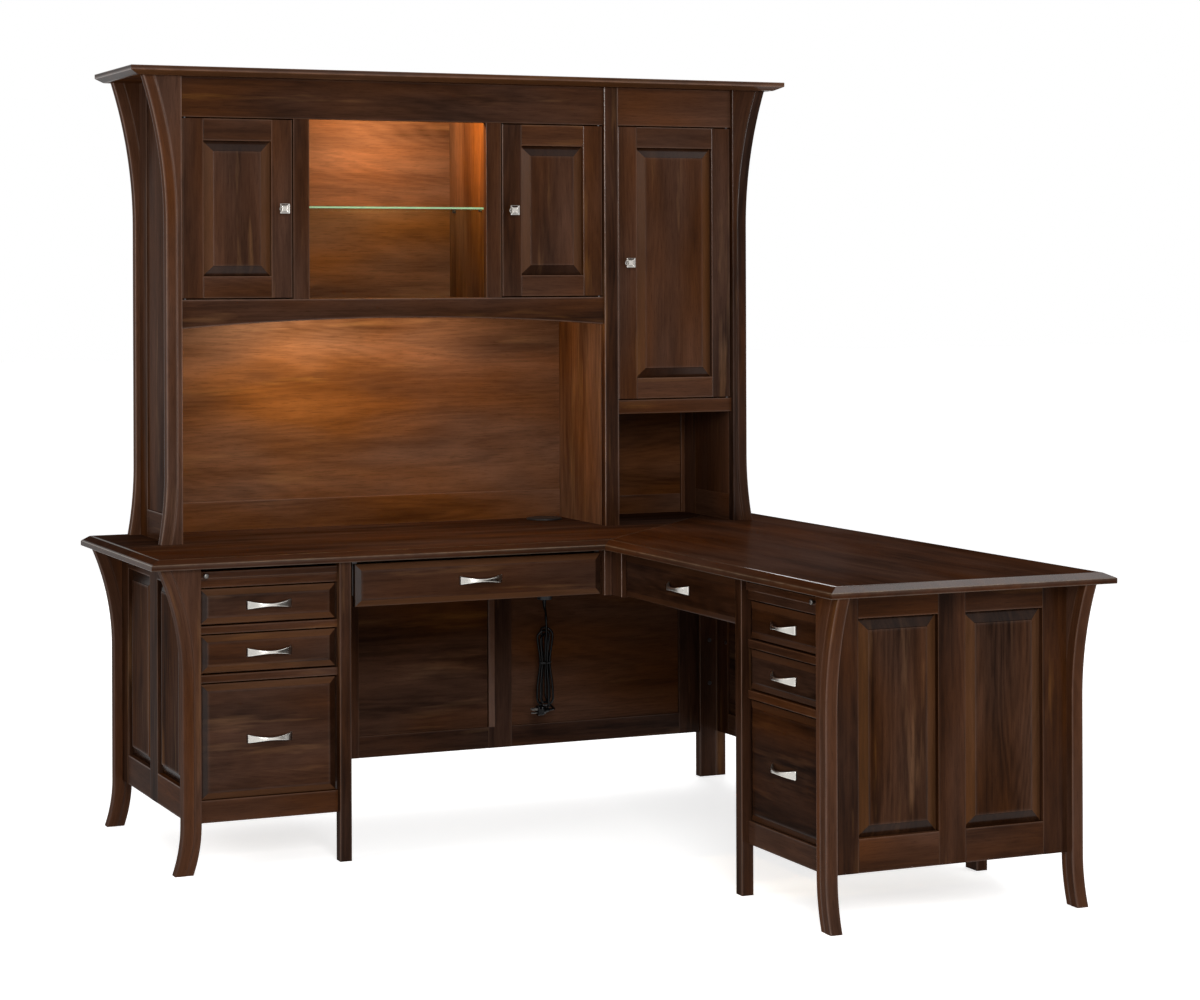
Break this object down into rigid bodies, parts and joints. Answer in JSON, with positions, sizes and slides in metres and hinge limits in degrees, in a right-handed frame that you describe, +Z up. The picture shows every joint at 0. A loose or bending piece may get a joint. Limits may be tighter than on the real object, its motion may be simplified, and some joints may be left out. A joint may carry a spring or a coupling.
{
  "type": "corner desk with hutch",
  "caption": "L-shaped wooden desk with flared legs, drawer pedestals and pull-out writing boards, carrying a hutch of cupboards, an open display with a glass shelf and a cubby.",
  "frame": {"origin": "middle of the footprint of both tops, on the floor", "axes": "+X to the right along the main desk's back, +Y towards the wall behind the hutch, +Z up; the return runs towards -Y on the right"},
  "size_m": [1.96, 1.908, 2.005],
  "materials": {
    "walnut": "dark stained hardwood under a satin lacquer",
    "drawer_wood": "pale drawer wood, clear lacquer",
    "nickel": "satin nickel",
    "steel": "zinc-plated steel",
    "black_plastic": "moulded black plastic",
    "cord_rubber": "black cord jacket",
    "shelf_glass": "clear glass with a greenish edge"
  },
  "bodies": {
    "desk": {"main_top": "walnut", "return_top": "walnut", "flared_legs": "walnut", "straight_legs": "walnut", "end_frames": "walnut", "back_frames": "walnut", "frame_panels": "walnut", "drawer_rails": "walnut", "pedestal_partitions": "walnut", "drawer_runners": "steel", "hinge_pins": "steel", "joint_bolts": "steel", "power_unit": "black_plastic", "cord_lead": "cord_rubber", "cord_hank": "cord_rubber", "power_plug": "black_plastic", "hutch_cornice": "walnut", "hutch_posts": "walnut", "hutch_sides": "walnut", "hutch_face_frame": "walnut", "hutch_back": "walnut", "hutch_partitions": "walnut", "hutch_shelves": "walnut", "glass_shelf": "shelf_glass", "shelf_pins": "steel", "hutch_lamps": "black_plastic"},
    "main_writing_board": {"main_board": "walnut", "main_board_knob": "nickel"},
    "main_upper_drawer": {"main_upper_front": "walnut", "main_upper_box": "drawer_wood", "main_upper_pull": "nickel"},
    "main_middle_drawer": {"main_middle_front": "walnut", "main_middle_box": "drawer_wood", "main_middle_pull": "nickel"},
    "main_file_drawer": {"main_file_front": "walnut", "main_file_box": "drawer_wood", "main_file_pull": "nickel"},
    "main_pencil_drawer": {"main_pencil_front": "walnut", "main_pencil_box": "drawer_wood", "main_pencil_pull": "nickel"},
    "return_writing_board": {"return_board": "walnut", "return_board_knob": "nickel"},
    "return_upper_drawer": {"return_upper_front": "walnut", "return_upper_box": "drawer_wood", "return_upper_pull": "nickel"},
    "return_middle_drawer": {"return_middle_front": "walnut", "return_middle_box": "drawer_wood", "return_middle_pull": "nickel"},
    "return_file_drawer": {"return_file_front": "walnut", "return_file_box": "drawer_wood", "return_file_pull": "nickel"},
    "return_pencil_drawer": {"return_pencil_front": "walnut", "return_pencil_box": "drawer_wood", "return_pencil_pull": "nickel"},
    "left_door_leaf": {"left_door": "walnut", "left_door_knob": "nickel"},
    "middle_door_leaf": {"middle_door": "walnut", "middle_door_knob": "nickel"},
    "tower_door_leaf": {"tower_door": "walnut", "tower_door_knob": "nickel"}
  },
  "joints": [
    {"name": "main_board_slide", "type": "slide", "parent": "desk", "child": "main_writing_board", "axis": [0, -1, 0], "range_m": [0, 0.33]},
    {"name": "main_upper_slide", "type": "slide", "parent": "desk", "child": "main_upper_drawer", "axis": [0, -1, 0], "range_m": [0, 0.4]},
    {"name": "main_middle_slide", "type": "slide", "parent": "desk", "child": "main_middle_drawer", "axis": [0, -1, 0], "range_m": [0, 0.4]},
    {"name": "main_file_slide", "type": "slide", "parent": "desk", "child": "main_file_drawer", "axis": [0, -1, 0], "range_m": [0, 0.45]},
    {"name": "main_pencil_slide", "type": "slide", "parent": "desk", "child": "main_pencil_drawer", "axis": [0, -1, 0], "range_m": [0, 0.32]},
    {"name": "return_board_slide", "type": "slide", "parent": "desk", "child": "return_writing_board", "axis": [-1, 0, 0], "range_m": [0, 0.33]},
    {"name": "return_upper_slide", "type": "slide", "parent": "desk", "child": "return_upper_drawer", "axis": [-1, 0, 0], "range_m": [0, 0.4]},
    {"name": "return_middle_slide", "type": "slide", "parent": "desk", "child": "return_middle_drawer", "axis": [-1, 0, 0], "range_m": [0, 0.4]},
    {"name": "return_file_slide", "type": "slide", "parent": "desk", "child": "return_file_drawer", "axis": [-1, 0, 0], "range_m": [0, 0.45]},
    {"name": "return_pencil_slide", "type": "slide", "parent": "desk", "child": "return_pencil_drawer", "axis": [1, 0, 0], "range_m": [-0.32, 0]},
    {"name": "left_door_hinge", "type": "hinge", "parent": "desk", "child": "left_door_leaf", "pos_m": [-0.7825, 0.633, 1.6415], "axis": [0, 0, -1], "range_deg": [0, 95]},
    {"name": "middle_door_hinge", "type": "hinge", "parent": "desk", "child": "middle_door_leaf", "pos_m": [0.3925, 0.633, 1.6415], "axis": [0, 0, 1], "range_deg": [0, 95]},
    {"name": "tower_door_hinge", "type": "hinge", "parent": "desk", "child": "tower_door_leaf", "pos_m": [0.7865, 0.633, 1.4985], "axis": [0, 0, 1], "range_deg": [0, 95]}
  ]
}
